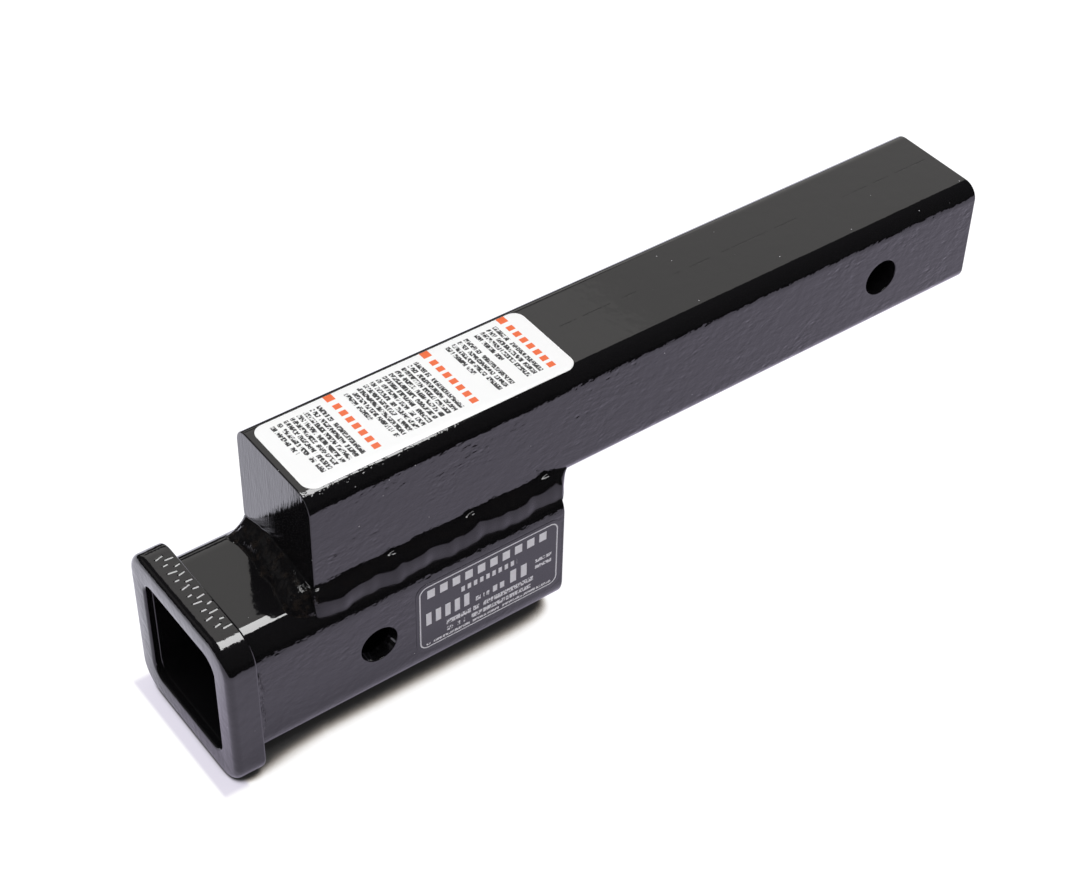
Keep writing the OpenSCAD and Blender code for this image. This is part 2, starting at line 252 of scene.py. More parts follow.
class Skin:
    """Grids of points, gathered into one closed mesh."""

    def __init__(self):
        self.points, self.faces, self.count = [], [], 0

    def grid(self, points, wrap_rows=False, wrap_columns=False, leave=None):
        """Adds a quad between each four neighbours of an array of (rows, columns, 3) points. It
        closes round the rows or the columns, and leaves out quads whose centres leave() picks."""
        rows, columns = points.shape[:2]
        index = np.arange(rows * columns).reshape(rows, columns)
        if wrap_rows:
            index = np.vstack([index, index[:1]])
        if wrap_columns:
            index = np.hstack([index, index[:, :1]])
        corners = (index[:-1, :-1], index[1:, :-1], index[1:, 1:], index[:-1, 1:])
        quads = np.stack(corners, -1).reshape(-1, 4)
        flat = points.reshape(-1, 3)
        if leave is not None:
            quads = quads[~leave(flat[quads].mean(1))]
        self.points.append(flat)
        self.faces.append(quads + self.count)
        self.count += len(flat)

    def build(self, name, node, slot, *materials, second=None):
        """Makes the object: equal points are merged, faces turned outwards and shaded smooth, and
        it rides on the frame in place of its node. second() picks faces, by their centres, for
        the second material."""
        mesh = bpy.data.meshes.new(name)
        mesh.from_pydata((np.vstack(self.points) * MM).tolist(), [], np.vstack(self.faces).tolist())
        work = bmesh.new()
        work.from_mesh(mesh)
        bmesh.ops.remove_doubles(work, verts=work.verts, dist=0.002 * MM)
        bmesh.ops.delete(work, geom=[v for v in work.verts if not v.link_faces], context="VERTS")
        bmesh.ops.recalc_face_normals(work, faces=work.faces)
        work.to_mesh(mesh)
        work.free()
        mesh.polygons.foreach_set("use_smooth", np.ones(len(mesh.polygons), bool))
        for material in materials:
            mesh.materials.append(material)
        if second is not None:
            centres = np.zeros(len(mesh.polygons) * 3)
            mesh.polygons.foreach_get("center", centres)
            picked = second(centres.reshape(-1, 3) / MM)
            mesh.polygons.foreach_set("material_index", picked.astype(np.int32))
        mesh.update()
        thing = bpy.data.objects.new(name, mesh)
        bpy.context.scene.collection.objects.link(thing)
        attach(thing, "root")
        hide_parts(node)
        return thing


# Steps of the grids along and across the flats, and the gap that keeps a flat's ends flat
ALONG_STEP = 12.0
ACROSS_STEP = 6.0
SUPPORT = 0.4


def quarter(count):
    """Angles from 0 to a right angle."""
    return np.linspace(0.0, math.pi / 2, count)


def spread(low, high, step):
    """Places from low to high, about a step apart."""
    return np.linspace(low, high, max(2, int(math.ceil((high - low) / step)) + 1))


def with_supports(places, gap=SUPPORT):
    """The places, and one more a small gap inside each end, which keeps the flat between flat."""
    return np.unique(np.concatenate([places, [places[0] + gap, places[-1] - gap]]))


def square_outline(half, radius, side_cuts, top_cuts, corner_steps=20):
    """Points (Y, Z) round a square with rounded corners, anticlockwise seen from +X. Each flat has
    points at the given shares of its half length, and each corner is a quarter circle."""
    core = half - radius
    side, top = np.asarray(side_cuts) * core, np.asarray(top_cuts) * core
    angle = quarter(corner_steps + 1)[1:-1]

    def flat(places, across):
        return np.stack([np.full(len(places), across), places], -1)

    def corner(centre_y, centre_z, turn):
        return np.stack(
            [centre_y + radius * np.cos(angle + turn), centre_z + radius * np.sin(angle + turn)], -1
        )

    return np.concatenate(
        [
            flat(side, half),
            corner(core, core, 0.0),
            flat(top, half)[::-1, ::-1],
            corner(-core, core, math.pi / 2),
            flat(side, -half)[::-1],
            corner(-core, -core, math.pi),
            flat(top, -half)[:, ::-1],
            corner(core, -core, 1.5 * math.pi),
        ]
    )


def carried(sections, centre_z):
    """A grid of outlines along X. Each section gives a place on X and the outline there."""
    rows = [
        np.column_stack([np.full(len(outline), x), outline[:, 0], outline[:, 1] + centre_z])
        for x, outline in sections
    ]
    return np.stack(rows)


# The square window round a pin hole on a side face: its cells along a side and its half width
WINDOW_CELLS = 16
WINDOW_REACH = 12.0


def hole_window(x, z):
    """Picks quads, by their centres, that lie inside a square window on a side face."""

    def inside(centres):
        off = np.maximum(np.abs(centres[:, 0] - x), np.abs(centres[:, 2] - z))
        return (off < WINDOW_REACH) & (np.abs(centres[:, 1]) > SHANK_HALF - 1)

    return inside


def hole_surface(x, z, y_first, y_last, rim):
    """A hole across Y between two side faces. Round the hole, rings of points blend from the
    square window on one face into the circle, roll over its rim as a quarter circle, follow the
    wall and do the same on the other face."""
    k = np.arange(4 * WINDOW_CELLS)
    side, share = k // WINDOW_CELLS, (k % WINDOW_CELLS) / WINDOW_CELLS * 2 - 1
    square = np.stack(
        [np.choose(side, [1 + 0 * share, -share, -1 + 0 * share, share]),
         np.choose(side, [share, 1 + 0 * share, -share, -1 + 0 * share])], -1
    ) * WINDOW_REACH
    turn = (k / WINDOW_CELLS - 0.5) * math.pi / 2
    circle = np.stack([np.cos(turn), np.sin(turn)], -1)
    blends = np.array([1.0, 0.7, 0.45, 0.25, 0.1, 0.03, 0.0])
    flat_rings = [g * square + (1 - g) * circle * (HOLE_R + rim) for g in blends]
    rolls = quarter(6)[1:]
    rim_rings = [circle * (HOLE_R + rim * (1 - math.sin(a))) for a in rolls]
    rim_depths = [rim * (1 - math.cos(a)) for a in rolls]
    plan = flat_rings + rim_rings
    depth = [0.0] * len(flat_rings) + rim_depths
    rows = [(p, y_first + d) for p, d in zip(plan, depth)] + [
        (p, y_last - d) for p, d in zip(plan[::-1], depth[::-1])
    ]
    return np.stack(
        [np.column_stack([x + p[:, 0], np.full(len(p), y), z + p[:, 1]]) for p, y in rows]
    )


def window_lines(middle):
    """Places of a window's lines along one of its sides."""
    return middle + np.linspace(-WINDOW_REACH, WINDOW_REACH, WINDOW_CELLS + 1)


def along_with_window(first, last, hole):
    """Places along X: a window's lines round the hole, and wider steps before and after it."""
    window = window_lines(hole)
    before, after = spread(first, window[0], ALONG_STEP), spread(window[-1], last, ALONG_STEP)
    return with_supports(np.unique(np.concatenate([before, window, after])))


def side_shares(core, middle):
    """Points up a side's flat, as shares of its half length: its ends and a window's lines."""
    return with_supports(np.unique(np.concatenate([[-core, core], window_lines(middle)]))) / core


def top_shares(core):
    """Points across a flat without a hole, as shares of its half length."""
    return with_supports(spread(-core, core, ACROSS_STEP)) / core


def rounded_end(x, direction, half, radius, rim, side_cuts, top_cuts):
    """Sections that roll from the side of a bar over its sawn edge on to its end face: the
    outline shrinks by rim while X advances by rim, as a quarter circle."""
    sections = []
    for a in quarter(6)[1:]:
        less = rim * (1 - math.cos(a))
        outline = square_outline(half - less, radius - less, side_cuts, top_cuts)
        sections.append((x - direction * rim * (1 - math.sin(a)), outline))
    return sections


def shank_skin(sizes):
    """The square bar: one rounded square outline carried along X, closed at both ends by the
    same outline shrunk towards its middle, with the pin hole let into it."""
    half, radius, rim = SHANK_HALF, sizes.shank_edge_r, sizes.sawn_r
    side, top = side_shares(half - radius, 0.0), top_shares(half - radius)
    body = along_with_window(SHANK_LOW[0] + rim, SHANK_HIGH[0] - rim, 0.0)
    outline = square_outline(half, radius, side, top)
    near = rounded_end(SHANK_LOW[0], -1, half, radius, rim, side, top)
    far = rounded_end(SHANK_HIGH[0], 1, half, radius, rim, side, top)
    shares = np.array([0.985, 0.9, 0.75, 0.55, 0.3, 0.0])
    near_cap = [(SHANK_LOW[0], near[-1][1] * s) for s in shares]
    far_cap = [(SHANK_HIGH[0], far[-1][1] * s) for s in shares]
    sections = near_cap[::-1] + near[::-1] + [(x, outline) for x in body] + far + far_cap
    skin = Skin()
    skin.grid(carried(sections, 0.0), wrap_columns=True, leave=hole_window(0.0, 0.0))
    skin.grid(hole_surface(0.0, 0.0, -half, half, sizes.drilled_r), wrap_columns=True)
    return skin


def tube_skin(sizes):
    """The square tube: its outer outline carried forwards along X and its bore carried back, so
    that the grid closes round both ways, with the pin hole let into each side wall."""
    half, radius, rim, wall = TUBE_HALF, sizes.tube_edge_r, sizes.sawn_r, sizes.tube_wall
    side, top = side_shares(half - radius, TUBE_HOLE[2] - TUBE_Z), top_shares(half - radius)
    body = along_with_window(TUBE_LOW[0] + rim, TUBE_HIGH[0] - rim, TUBE_HOLE[0])
    outer = square_outline(half, radius, side, top)
    bore = square_outline(half - wall, radius - wall, side, top)

    def rounded_mouth(x, direction):
        sections = []
        for a in quarter(6)[:-1]:
            less = wall - rim * (1 - math.sin(a))
            outline = square_outline(half - less, radius - less, side, top)
            sections.append((x - direction * rim * (1 - math.cos(a)), outline))
        return sections

    front = rounded_end(TUBE_LOW[0], -1, half, radius, rim, side, top)
    rear = rounded_end(TUBE_HIGH[0], 1, half, radius, rim, side, top)
    sections = (
        [(x, outer) for x in body]
        + rear + rounded_mouth(TUBE_HIGH[0], 1)
        + [(x, bore) for x in body[::-1]]
        + rounded_mouth(TUBE_LOW[0], -1)[::-1] + front[::-1]
    )
    skin = Skin()
    window = hole_window(TUBE_HOLE[0], TUBE_HOLE[2])
    skin.grid(carried(sections, TUBE_Z), wrap_rows=True, wrap_columns=True, leave=window)
    for y_first, y_last in ((-half, wall - half), (half - wall, half)):
        hole = hole_surface(TUBE_HOLE[0], TUBE_HOLE[2], y_first, y_last, sizes.drilled_r)
        skin.grid(hole, wrap_columns=True)
    return skin


def collar_skin(sizes, steel):
    """The collar: a section of X and offset, carried round a rounded square. It runs out over
    the lip's front, back along the outside, in over the rear face, forward along the socket and
    in over the lip's back to the mouth. The ribs are bumps added to the top of the outside."""
    half, x0 = COLLAR_HIGH[1], COLLAR_LOW[0]
    depth = COLLAR_HIGH[0] - x0
    mouth = TUBE_HALF - steel.tube_wall + sizes.mouth_clear
    mouth_corner = steel.tube_edge_r - steel.tube_wall + sizes.mouth_clear
    fit, support = 0.05, 0.3
    side, top = with_supports(np.linspace(-1, 1, 9), 0.02), np.linspace(-1, 1, 241)
    rolls = quarter(8)

    def ring(x, reach, size, corner):
        return (x0 + x, square_outline(reach, corner + reach - size, side, top))

    lip, edge, turn, heel = sizes.lip, sizes.front_r, sizes.mouth_r, sizes.rear_r
    flare = [
        ring(turn * (1 - math.sin(a)), mouth + turn * (1 - math.cos(a)), mouth, mouth_corner)
        for a in rolls
    ]
    front = [
        ring(edge * (1 - math.sin(a)), half - edge * (1 - math.cos(a)), half, sizes.corner_r)
        for a in rolls[::-1]
    ]
    outside = [ring(x, half, half, sizes.corner_r) for x in spread(edge, depth - heel, 0.25)[1:-1]]
    back = [
        ring(depth - heel * (1 - math.sin(a)), half - heel * (1 - math.cos(a)), half, sizes.corner_r)
        for a in rolls
    ]
    socket_x = (depth, depth - support, lip + support, lip)
    socket = [ring(x, TUBE_HALF + fit, TUBE_HALF + fit, steel.tube_edge_r + fit) for x in socket_x]
    inner = [ring(x, mouth, mouth, mouth_corner) for x in (lip, lip - support)]
    grid = carried(inner + flare + front + outside + back + socket, TUBE_Z)
    on_top = grid[..., 2] > TUBE_Z + half - 0.01
    on_flat = np.abs(grid[..., 1]) < half - sizes.corner_r + 0.01
    grid[..., 2] += on_top * on_flat * rib_height(grid[..., 0], grid[..., 1], sizes)
    skin = Skin()
    skin.grid(grid, wrap_rows=True, wrap_columns=True)
    return skin


def rib_height(x, y, sizes):
    """Height of the ribs over the collar's top: each is a raised cosine of the distance from the
    line along its middle. They stand in two staggered rows, and their slants and lengths are as
    uneven as in the casting."""
    row = (sizes.rib_count - 1) * sizes.rib_pitch
    middle = COLLAR_LOW[0] + (sizes.front_r + COLLAR_HIGH[0] - COLLAR_LOW[0]) / 2 + 0.5
    reach = (sizes.rib_len - sizes.rib_w) / 2
    height = np.zeros_like(x)
    for i in range(sizes.rib_count):
        across = y - sizes.rib_shift - (i * sizes.rib_pitch - row / 2)
        along = x - middle - sizes.rib_stagger * (-1) ** i - 0.5 * math.sin(1.3 * i)
        slant = sizes.rib_slant + 0.2 * math.sin(2.4 * i)
        a = along * math.cos(slant) + across * math.sin(slant)
        b = across * math.cos(slant) - along * math.sin(slant)
        off = np.hypot(np.maximum(np.abs(a) - reach * (0.7 + 0.3 * math.cos(1.7 * i)), 0.0), b)
        bump = 0.5 + 0.5 * np.cos(math.pi * np.clip(off / sizes.rib_w, 0.0, 1.0))
        height = np.maximum(height, sizes.rib_h * bump)
    return height


# Weld beads


def wave(s, seed):
    """A slow uneven wave between about -1 and 1: three sines of unlike lengths."""
    turn = 2 * math.pi
    return (
        0.6 * np.sin(turn * (s / 27.3 + 0.364 * seed))
        + 0.28 * np.sin(turn * (s / 11.9 + 0.158 * seed))
        + 0.12 * np.sin(turn * (s / 6.1 + 0.586 * seed))
    )


def through(s, places, values):
    """Passes through the values at the places, and eases from each one to the next."""
    places, values = np.asarray(places), np.asarray(values)
    k = np.clip(np.searchsorted(places, s) - 1, 0, len(places) - 2)
    share = np.clip((s - places[k]) / (places[k + 1] - places[k]), 0, 1)
    return values[k] + (values[k + 1] - values[k]) * share * share * (3 - 2 * share)


def bell(s, middle, reach):
    """A hump that is 1 at the middle and falls away over the reach: exp of minus its square."""
    return np.exp(-(((s - middle) / reach) ** 2))


def ripple(s, t, pitch):
    """Ripples with round backs and sharp valleys, bowed along the middle of a bead."""
    return (np.abs(np.sin(math.pi * (s / pitch - 0.8 * t * (1 - t)))) - 0.5) * np.sin(math.pi * t)


def ease(s, e):
    """Eases from 0 to 1 over a length e as a quarter circle."""
    return np.where(s >= e, 1.0, np.sqrt(np.clip(1 - (1 - np.clip(s / e, 0, 1)) ** 2, 0, 1)))


def bezier(a, b, c, d, t):
    """Cubic curve with control points a, b, c and d."""
    return (1 - t) ** 3 * a + 3 * t * (1 - t) ** 2 * b + 3 * t * t * (1 - t) * c + t**3 * d


def stack(*parts):
    """Joins arrays of (rings, points, 2) into closed rings."""
    return np.concatenate(parts, axis=1)


# How far past the flat of the shank's underside the root of a side bead lies
ROOT_IN = 2.1


def on_shank_edge(d, r, sink):
    """Points (Y, Z) on the shank's lower edge, of radius r, at distances d from the end of the
    flat below it. Past the edge they run up the side. The edge's points are sunk in the steel."""
    a = np.clip(d / r, 0, math.pi / 2)
    y = SHANK_HALF - r + (r - sink) * np.sin(a)
    z = LAP_Z + r - (r - sink) * np.cos(a) + np.maximum(0, d - r * math.pi / 2)
    return np.stack([y, z], -1)


def on_tube_edge(d, r, sink):
    """Points (Y, Z) on the tube's upper edge in the same way. Before it they lie on the top."""
    a = np.clip(d / r, 0, math.pi / 2)
    y = TUBE_HALF - r + np.minimum(0, d) + (r - sink) * np.sin(a)
    return np.stack([y, LAP_Z - r + (r - sink) * np.cos(a)], -1)


def side_face(sizes, s, toe, other_toe, seed, full, lift):
    """The open face of a side bead: a cubic curve from the lower toe to the upper one, with long
    swells, a slow wave and ripples. At even distances, where the weld was started anew, a short
    shelf lies level under the upper toe."""
    pitch = sizes.start_pitch
    height = other_toe[..., 1:] - toe[..., 1:]
    grow = (full * (1 - 0.5 * lift))[..., None]
    first_start = 35.0 - 7.0 * (seed - 1.0)
    beat = (s - first_start + pitch / 2) % pitch - pitch / 2
    shelf = 0.22 * bell(beat, 0.0, sizes.start_len)[..., None] - 0.16
    t = np.linspace(0.08, 0.92, 32)[None, :, None]
    belly = toe + np.concatenate([sizes.belly * grow, 0.55 * height], -1)
    shoulder = other_toe + np.concatenate([sizes.shoulder * grow, shelf * height], -1)
    face = bezier(toe, belly, shoulder, other_toe, t)
    t = t[..., 0]
    swells = sizes.swell * np.sin(2 * math.pi * (s - 3.0 * seed) / pitch)
    bumps = (swells + 0.05 * wave(s + 4.0 * t, seed + 4.1)) * np.sin(math.pi * t)
    face[..., 0] += (bumps + sizes.ripple_h * ripple(s, t, 5.3)) * full
    return face


def side_bead(sizes, steel, seed, side):
    """A bead in the groove between the shank's lower edge and the tube's upper edge. Each ring
    runs down the shank's edge, out along the tube's edge and back over the face. Past the tube's
    end the lower toe climbs to the root."""
    r_shank, r_tube = steel.shank_edge_r, steel.tube_edge_r
    run = TUBE_HIGH[0] - SHANK_LOW[0]
    # How far before the shank's end the bead begins, and the length over which it fills out
    lead, start = (1.8, 4.2) if side < 0 else (-2.0, 6.0)
    s = np.linspace(-lead, run + sizes.tail, 420)[:, None]
    past = np.clip((s - run) / sizes.tail, 0, 1)
    lift = 0.75 * past
    full = np.clip(ease(s + lead, start) * np.sqrt(1 - 0.85 * past), 0.25, 1)
    root_y = SHANK_HALF - r_shank + ROOT_IN
    root_shank = r_shank * math.asin(ROOT_IN / r_shank)
    root_tube = r_tube * math.asin((root_y - TUBE_HALF + r_tube) / r_tube)
    up = sizes.leg_up + sizes.wander * wave(s, seed)
    on_edge = r_shank * np.arccos(np.clip(1 - up / r_shank, -1, 1))
    toe_up = np.where(up < r_shank, on_edge, r_shank * (math.pi / 2 - 1) + up) - 2 * (1 - full)
    out = SHANK_HALF + sizes.leg_out + sizes.wander * wave(s, seed + 1.7) - TUBE_HALF + r_tube
    toe_out = r_tube * np.arcsin(np.clip(out / r_tube, 0, 0.97)) - 2.4 * (1 - full)
    toe_low = root_tube + (toe_out - root_tube) * (1 - lift)
    lip_up, lip_low = toe_up + 0.5 * full, toe_low + 0.6 * full * (1 - lift)
    share = np.linspace(0, 1, 7)[None, :]
    seat_up = on_shank_edge(lip_up + (root_shank - lip_up) * share, r_shank, sizes.sink)
    seat_low = on_tube_edge(root_tube + (lip_low - root_tube) * share, r_tube, sizes.sink)
    toe, other_toe = on_tube_edge(toe_low, r_tube, 0.0), on_shank_edge(toe_up, r_shank, 0.0)
    first, last = on_tube_edge(lip_low, r_tube, 0.02), on_shank_edge(lip_up, r_shank, 0.02)
    face = side_face(sizes, s, toe, other_toe, seed, full, lift)
    ring = stack(seat_up, seat_low, flared(first, toe, face, other_toe, last))
    x = np.broadcast_to(SHANK_LOW[0] + s, ring.shape[:2])
    return closed_ends(np.stack([x, side * ring[..., 0], ring[..., 1]], -1))


def closed_ends(grid):
    """Adds to each end of a row of rings a copy shrunk to its middle, which closes the end."""
    first = np.broadcast_to(grid[0].mean(0), grid[0].shape)[None]
    last = np.broadcast_to(grid[-1].mean(0), grid[-1].shape)[None]
    return np.concatenate([first, grid, last])


def flared(first, toe, face, other_toe, last):
    """The face between two toes, with each toe drawn out into a thin hollow lip: a quadratic
    curve from a point on the steel beyond the toe, round the toe, into the face."""
    q = np.linspace(0, 1, 7)[None, :-1, None]
    lip = (1 - q) ** 2 * first + 2 * q * (1 - q) * toe + q**2 * face[:, :1]
    other = (1 - q) ** 2 * last + 2 * q * (1 - q) * other_toe + q**2 * face[:, -1:]
    return stack(lip, face, other[:, ::-1])


def corner_ring(root, start, end, full, bulge, lumps, sink):
    """Rings of a bead in a square corner. The seats run from the root to both toes, sunk in the
    steel. The face is the chord from toe to toe, pushed out square to it by a parabola of a
    given bulge and by lumps(t)."""
    t = np.linspace(0.1, 0.9, 28)[None, :]
    chord = end - start
    out = np.stack([-chord[..., 1], chord[..., 0]], -1) / np.linalg.norm(chord, axis=-1, keepdims=True)
    inward = 2 * root - start - end
    turn = np.sign((out * inward).sum(-1, keepdims=True))
    push = 4 * t * (1 - t) * bulge + lumps(t) * full * np.sin(math.pi * t)
    face = start + chord * t[..., None] - turn * out * push[..., None]
    along, up = [
        v / np.linalg.norm(v, axis=-1, keepdims=True) for v in (start - root, end - root)
    ]
    reach = 0.6 * full[..., None]
    first, last = start + reach * along, end + reach * up
    face = flared(first, start, face, end, last)
    return stack(root - sink * (along + up), first - sink * up, face, last - sink * along)


def pair(a, b):
    """Joins two columns into points of one ring each."""
    return np.stack(np.broadcast_arrays(a, b), -1)


def front_bead(sizes, steel):
    """The bead across the shank's end face and the tube's top, which falls away on the tube's
    rounded edges. Its toes wander as in the photograph. Its near end is a round nose at the
    shank's corner, where it meets the side bead, and it hollows towards its far end."""
    tube_core = TUBE_HALF - steel.tube_edge_r
    near, far = -SHANK_HALF - 3.0, SHANK_HALF + 0.9
    y = np.linspace(near, far, 340)[:, None]
    full = np.clip(ease(y - near, 5.0) * ease(far - y, 3.6), 0.2, 1)
    drop = steel.tube_edge_r - np.sqrt(steel.tube_edge_r**2 - np.clip(np.abs(y) - tube_core, 0, None) ** 2)
    floor = LAP_Z - drop
    # How far each toe lies from its mean leg, at places across the bead
    foot_places = (-25, -21, -14, -10, -1.6, 4.5, 14, 22)
    foot_wander = through(y, foot_places, (1.7, 1.9, 1.0, -0.3, 0.1, -1.2, -1.5, 0.1))
    head_wander = through(y, (-26, -16, -5.5, 6.2, 13, 23), (-1.2, -1.1, 0.5, 1.7, 0.1, -2.4))
    foot = (sizes.foot + foot_wander + 0.3 * sizes.wander * wave(2.3 * y, 3.1)) * full
    turn = np.clip((-24.2 - y) / 2.8, 0, 1)
    wrap = turn * turn * (3 - 2 * turn)
    head = (sizes.head + head_wander + 0.3 * sizes.wander * wave(2.1 * y, 4.3)) * full
    head = head * (1 - wrap) + 1.2 * wrap - drop * (y < 0)
    bulge = (1.2 + 1.2 * bell(y, -22.0, 5.0) + 1.4 * wrap - 2.4 * bell(y, 26.0, 7.0)) * full
    x = SHANK_LOW[0] + 3.0 * wrap
    scales = bell(y, -12.0, 9.0)

    def lumps(t):
        fine = sizes.ripple_h * (5 * ripple(y, t, 1.5) * scales + 2 * ripple(y, t, 2.8))
        return 0.2 * wave(1.6 * y + 7.0 * t, 2.2) + 0.04 * wave(3.3 * y - 9.0 * t, 5.9) + fine

    toe, other_toe = pair(SHANK_LOW[0] - foot, floor), pair(x, LAP_Z + head)
    ring = corner_ring(pair(x, floor), toe, other_toe, full, bulge, lumps, sizes.sink)
    return closed_ends(np.stack([ring[..., 0], np.broadcast_to(y, ring.shape[:2]), ring[..., 1]], -1))


def rear_bead(sizes, steel):
    """The bead under the shank, against the tube's rear end."""
    half = SHANK_HALF - steel.shank_edge_r + 2.4
    y = np.linspace(-half, half, 260)[:, None]
    full = np.clip(ease(half - np.abs(y), 1.5), 0.3, 1)
    z, x = LAP_Z + 0 * y, TUBE_HIGH[0] + 0 * y
    along = (sizes.rear_leg + 0.6 * sizes.wander * wave(y, 5.7)) * full
    down = (sizes.rear_leg + 0.6 * sizes.wander * wave(y, 6.1)) * full

    def lumps(t):
        return 0.15 * wave(2.1 * y + 3.0 * t, 3.3) + 4 * sizes.ripple_h * ripple(y, t, 2.8)

    ring = corner_ring(pair(x, z), pair(x + along, z), pair(x, z - down), full, 0.4 * full, lumps, sizes.sink)
    return closed_ends(np.stack([ring[..., 0], np.broadcast_to(y, ring.shape[:2]), ring[..., 1]], -1))


def collar_bead(sizes, side, seed):
    """The short bead between the collar's rear face and the tube's side."""
    half = sizes.collar_len / 2
    z = np.linspace(-half, half, 200)[:, None]
    full = np.clip(ease(half - np.abs(z), 2.0), 0.3, 1)
    x, y = COLLAR_HIGH[0] + 0 * z, TUBE_HALF + 0 * z
    along = (sizes.collar_leg + 0.4 + 1.8 * sizes.wander * wave(1.9 * z, seed)) * full
    up = sizes.collar_up * (0.88 + 0.22 * wave(1.7 * z, seed + 2.0)) * full

    def lumps(t):
        return 0.24 * wave(2.3 * z + 5.0 * t, seed + 1.0) + 0.1 * wave(6.1 * z - 6.0 * t, seed + 3.0)

    ring = corner_ring(pair(x, y), pair(x, y + up), pair(x + along, y), full, 0.5 * full, lumps, sizes.sink)
    height = np.broadcast_to(TUBE_Z + z, ring.shape[:2])
    return closed_ends(np.stack([ring[..., 0], side * ring[..., 1], height], -1))


# Labels


def sheet_plan(half_u, half_v, radius):
    """Points round a rectangle with rounded corners: its corners are quarter circles and its
    sides have even steps."""
    angle = quarter(12)
    centres = [(1, 1, 0.0), (-1, 1, 0.5), (-1, -1, 1.0), (1, -1, 1.5)]
    corners = [
        np.stack(
            [su * (half_u - radius) + radius * np.cos(angle + turn * math.pi),
             sv * (half_v - radius) + radius * np.sin(angle + turn * math.pi)], -1
        )
        for su, sv, turn in centres
    ]
    outline = []
    for corner, after in zip(corners, corners[1:] + corners[:1]):
        outline += [corner, np.linspace(corner[-1], after[0], 26)[1:-1]]
    return np.concatenate(outline)


def sheet_skin(low, high, radius, thickness, place):
    """A thin label: its outline, shrunk in steps, gives the face and the back, and place() puts
    each point (along, across, height over the steel) on the surface that carries it."""
    middle, half = (low + high) / 2, (high - low) / 2
    outline = sheet_plan(half[0], half[1], radius)
    rim = 0.35 * thickness
    rings = [(s, thickness) for s in (0.0, 0.2, 0.4, 0.6, 0.8, 0.92)]
    reach = half.min()
    rings += [
        (1 - rim * (1 - math.sin(a)) / reach, thickness - rim * (1 - math.cos(a))) for a in quarter(5)
    ]
    rings += [(1.0, -0.02), (0.5, -0.02), (0.0, -0.02)]
    rows = [
        place(middle[0] + s * outline[:, 0], middle[1] + s * outline[:, 1], np.full(len(outline), h))
        for s, h in rings
    ]
    skin = Skin()
    skin.grid(np.stack(rows), wrap_columns=True)
    return skin


# Materials


class Wire:
    """A socket of a node graph. Arithmetic on wires and numbers adds Math nodes."""

    def __init__(self, graph, socket):
        self.graph, self.socket = graph, socket

    def math(self, operation, *values):
        """A Math node on the values, which are wires or numbers."""
        return self.graph.add("ShaderNodeMath", dict(enumerate(values)), operation=operation)

    def __add__(self, other):
        return self.math("ADD", self, other)

    def __radd__(self, other):
        return self.math("ADD", other, self)

    def __sub__(self, other):
        return self.math("SUBTRACT", self, other)

    def __rsub__(self, other):
        return self.math("SUBTRACT", other, self)

    def __mul__(self, other):
        return self.math("MULTIPLY", self, other)

    def __rmul__(self, other):
        return self.math("MULTIPLY", other, self)

    def __truediv__(self, other):
        return self.math("DIVIDE", self, other)

    def __abs__(self):
        return self.math("ABSOLUTE", self)

    def root(self):
        """The square root."""
        return self.math("SQRT", self)

    def floor(self):
        """The whole number below."""
        return self.math("FLOOR", self)

    def low(self, other):
        """The lower of two values."""
        return self.math("MINIMUM", self, other)

    def high(self, other):
        """The higher of two values."""
        return self.math("MAXIMUM", self, other)

    def over(self, low, high):
        """0 below low, 1 above high, and smooth between."""
        values = {"Value": self, "From Min": low, "From Max": high}
        return self.graph.add("ShaderNodeMapRange", values, interpolation_type="SMOOTHSTEP")

    def between(self, low, high, soft):
        """1 between low and high, and 0 outside, over a soft edge."""
        return self.over(low - soft, low) * (1 - self.over(high, high + soft))


